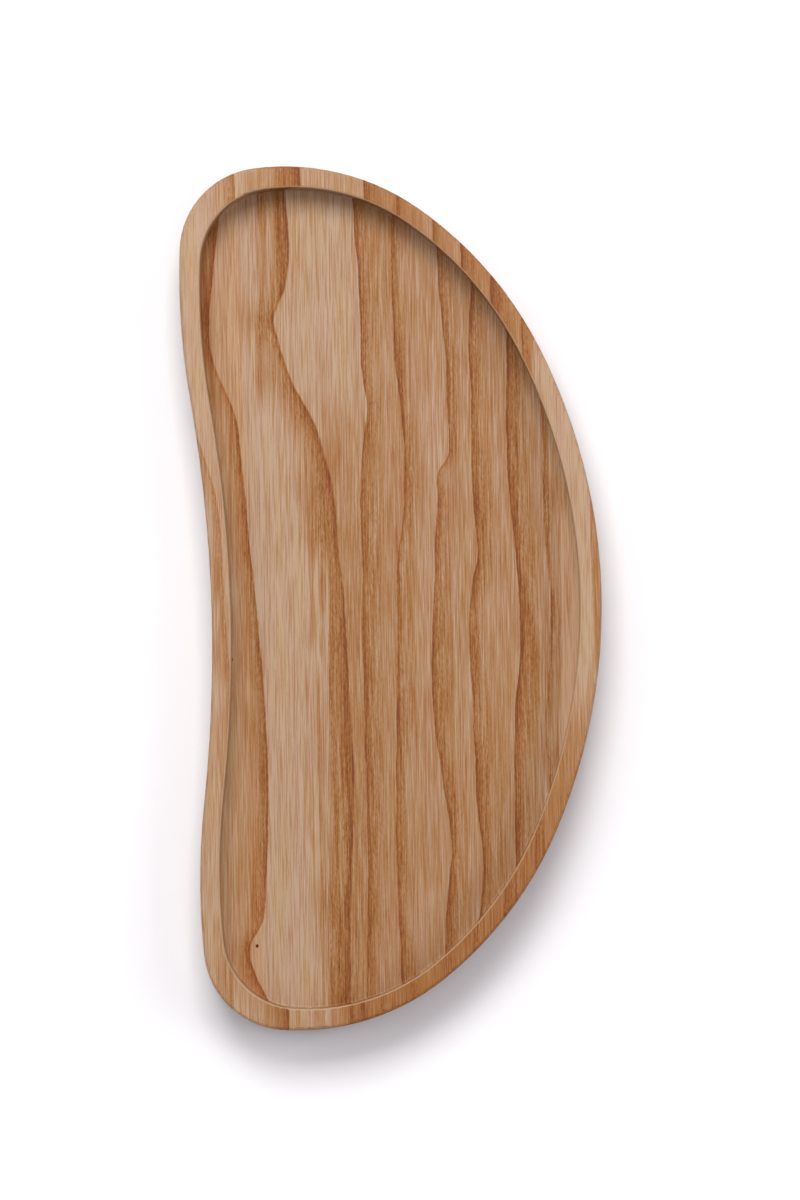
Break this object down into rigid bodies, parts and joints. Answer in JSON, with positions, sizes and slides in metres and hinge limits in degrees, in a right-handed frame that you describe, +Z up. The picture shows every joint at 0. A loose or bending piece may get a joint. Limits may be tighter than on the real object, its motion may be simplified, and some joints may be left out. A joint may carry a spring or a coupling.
{
  "type": "coin tray",
  "caption": "Shallow bean-shaped wooden tray with a milled recess and a low rim, on small felt pads, for coins, keys and other pocket things.",
  "frame": {"origin": "middle of the tray's footprint, on the surface that its pads stand on", "axes": "+Z up, Y along the tray's length, +X from the hollow waist towards the round belly"},
  "size_m": [0.0952, 0.2, 0.0175],
  "materials": {
    "ash_wood": "fine sanded and oiled, matt",
    "felt": "pressed wool felt",
    "adhesive": "double-sided adhesive film"
  },
  "bodies": {
    "root": {"tray_body": "ash_wood", "felt_pad_upper_horn": "felt", "felt_pad_upper_belly": "felt", "felt_pad_lower_belly": "felt", "felt_pad_lower_horn": "felt", "adhesive_disc_upper_horn": "adhesive", "adhesive_disc_upper_belly": "adhesive", "adhesive_disc_lower_belly": "adhesive", "adhesive_disc_lower_horn": "adhesive"}
  },
  "joints": []
}
